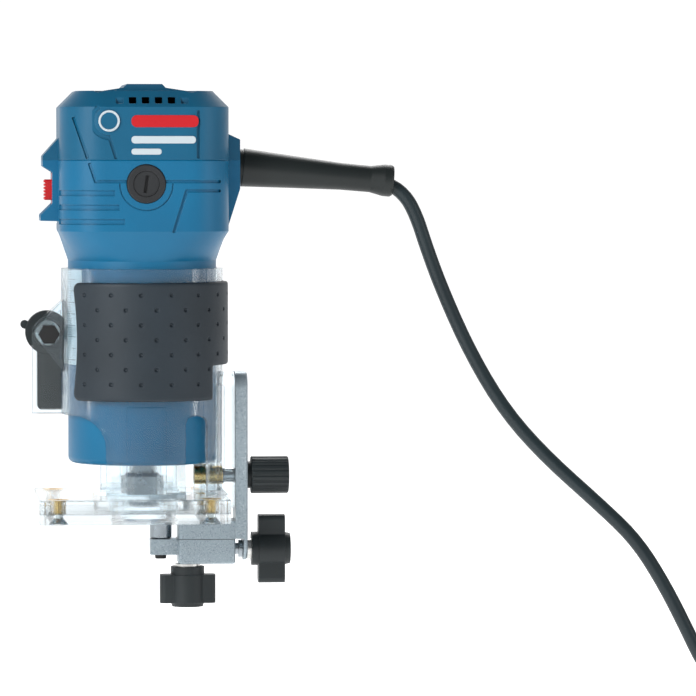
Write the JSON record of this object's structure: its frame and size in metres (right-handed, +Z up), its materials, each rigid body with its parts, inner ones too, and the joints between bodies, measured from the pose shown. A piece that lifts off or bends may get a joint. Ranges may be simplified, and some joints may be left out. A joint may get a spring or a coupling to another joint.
{
  "type": "trim router",
  "caption": "Corded trim router: round motor clamped in a clear base, with collet, side clamp lever, edge guide with roller and knobs, cable with plug.",
  "frame": {"origin": "on the spindle axis in the plane of the clear sole", "axes": "+Z up along the spindle, -Y the front, +X the side of the cable and the guide"},
  "size_m": [0.4686, 0.0885, 0.2991],
  "materials": {
    "housing_plastic": "fine texture",
    "cover_plastic": "fine texture",
    "steel": "turned",
    "zinc": "plated",
    "lamination": "stacked sheet",
    "copper": "enamelled wire",
    "brass": "turned",
    "carbon": "pressed carbon",
    "inner_plastic": "moulded",
    "red_plastic": "moulded",
    "clear_plastic": "clear moulded",
    "grip_rubber": "dimpled",
    "knob_plastic": "fine texture",
    "cast_guide": "speckled casting",
    "cord_plastic": "smooth",
    "scale_foil": "printed foil"
  },
  "bodies": {
    "base": {"base_frame": "clear_plastic", "sole_plate": "clear_plastic", "brass_bushes": "brass", "sole_screws": "zinc", "stud_bush": "brass", "grip_sleeve": "grip_rubber", "clamp_bolt": "zinc", "clamp_washer": "zinc", "clamp_nut": "zinc", "cord_coil": "cord_plastic", "cord_tie": "cord_plastic", "plug_lead": "cord_plastic", "mains_plug": "cord_plastic", "plug_pins": "brass"},
    "motor": {"motor_housing": "housing_plastic", "top_cover": "cover_plastic", "cover_screws": "zinc", "lower_bearing": "steel", "upper_bearing": "steel", "stator_core": "lamination", "stator_windings": "copper", "bearing_bridge": "inner_plastic", "brush_holder_front": "inner_plastic", "brush_holder_rear": "inner_plastic", "brush_cap_front": "inner_plastic", "brush_cap_rear": "inner_plastic", "carbon_brush_front": "carbon", "carbon_brush_rear": "carbon", "brush_spring_front": "steel", "brush_spring_rear": "steel", "switch_module": "inner_plastic", "cable_clamp": "inner_plastic", "strain_relief": "knob_plastic", "power_cord": "cord_plastic", "depth_scale": "scale_foil"},
    "rotor": {"spindle_shaft": "steel", "armature_core": "lamination", "armature_windings": "copper", "commutator": "copper", "cooling_fan": "inner_plastic", "collet": "steel"},
    "collet_nut": {"collet_nut": "steel"},
    "switch": {"switch_slider": "red_plastic", "switch_link": "inner_plastic"},
    "clamp_lever": {"clamp_lever": "knob_plastic"},
    "guide_arm": {"guide_arm": "cast_guide", "adjust_bush": "zinc", "lock_washer": "zinc"},
    "arm_knob": {"arm_knob": "knob_plastic", "arm_stud": "steel"},
    "roller_slide": {"roller_block": "cast_guide", "roller_pin": "steel"},
    "roller": {"roller": "steel"},
    "adjust_knob": {"adjust_knob": "knob_plastic", "adjust_screw": "steel"},
    "lock_knob": {"lock_knob": "knob_plastic", "lock_bolt": "steel"}
  },
  "joints": [
    {"name": "depth_slide", "type": "slide", "parent": "base", "child": "motor", "axis": [0, 0, 1], "range_m": [0, 0.03]},
    {"name": "spindle", "type": "hinge", "parent": "motor", "child": "rotor", "pos_m": [0, 0, 0.08], "axis": [0, 0, 1], "continuous": true},
    {"name": "nut_turn", "type": "hinge", "parent": "rotor", "child": "collet_nut", "pos_m": [0, 0, 0.012], "axis": [0, 0, 1], "range_deg": [0, 180]},
    {"name": "switch_slide", "type": "slide", "parent": "motor", "child": "switch", "axis": [0, 0, 1], "range_m": [-0.0045, 0]},
    {"name": "lever_swing", "type": "hinge", "parent": "base", "child": "clamp_lever", "pos_m": [-0.041, 0.0179, 0.081], "axis": [0, 1, 0], "range_deg": [0, 95]},
    {"name": "guide_slide", "type": "slide", "parent": "base", "child": "guide_arm", "axis": [0, 0, 1], "range_m": [-0.012, 0]},
    {"name": "arm_knob_turn", "type": "hinge", "parent": "base", "child": "arm_knob", "pos_m": [0.05, 0, 0.0186], "axis": [1, 0, 0], "range_deg": [0, 720]},
    {"name": "roller_feed", "type": "slide", "parent": "guide_arm", "child": "roller_slide", "axis": [1, 0, 0], "range_m": [-0.008, 0]},
    {"name": "adjust_turn", "type": "hinge", "parent": "guide_arm", "child": "adjust_knob", "pos_m": [0.055, 0, -0.0139], "axis": [1, 0, 0], "range_deg": [0, 3602]},
    {"name": "lock_turn", "type": "hinge", "parent": "guide_arm", "child": "lock_knob", "pos_m": [0.0198, 0, -0.03], "axis": [0, 0, 1], "range_deg": [0, 360]},
    {"name": "roller_spin", "type": "hinge", "parent": "roller_slide", "child": "roller", "pos_m": [0.008, 0, -0.005], "axis": [0, 0, 1], "continuous": true}
  ],
  "couplings": [
    {"joint": "adjust_turn", "follows": "roller_feed", "rad_per_m": -7854}
  ]
}
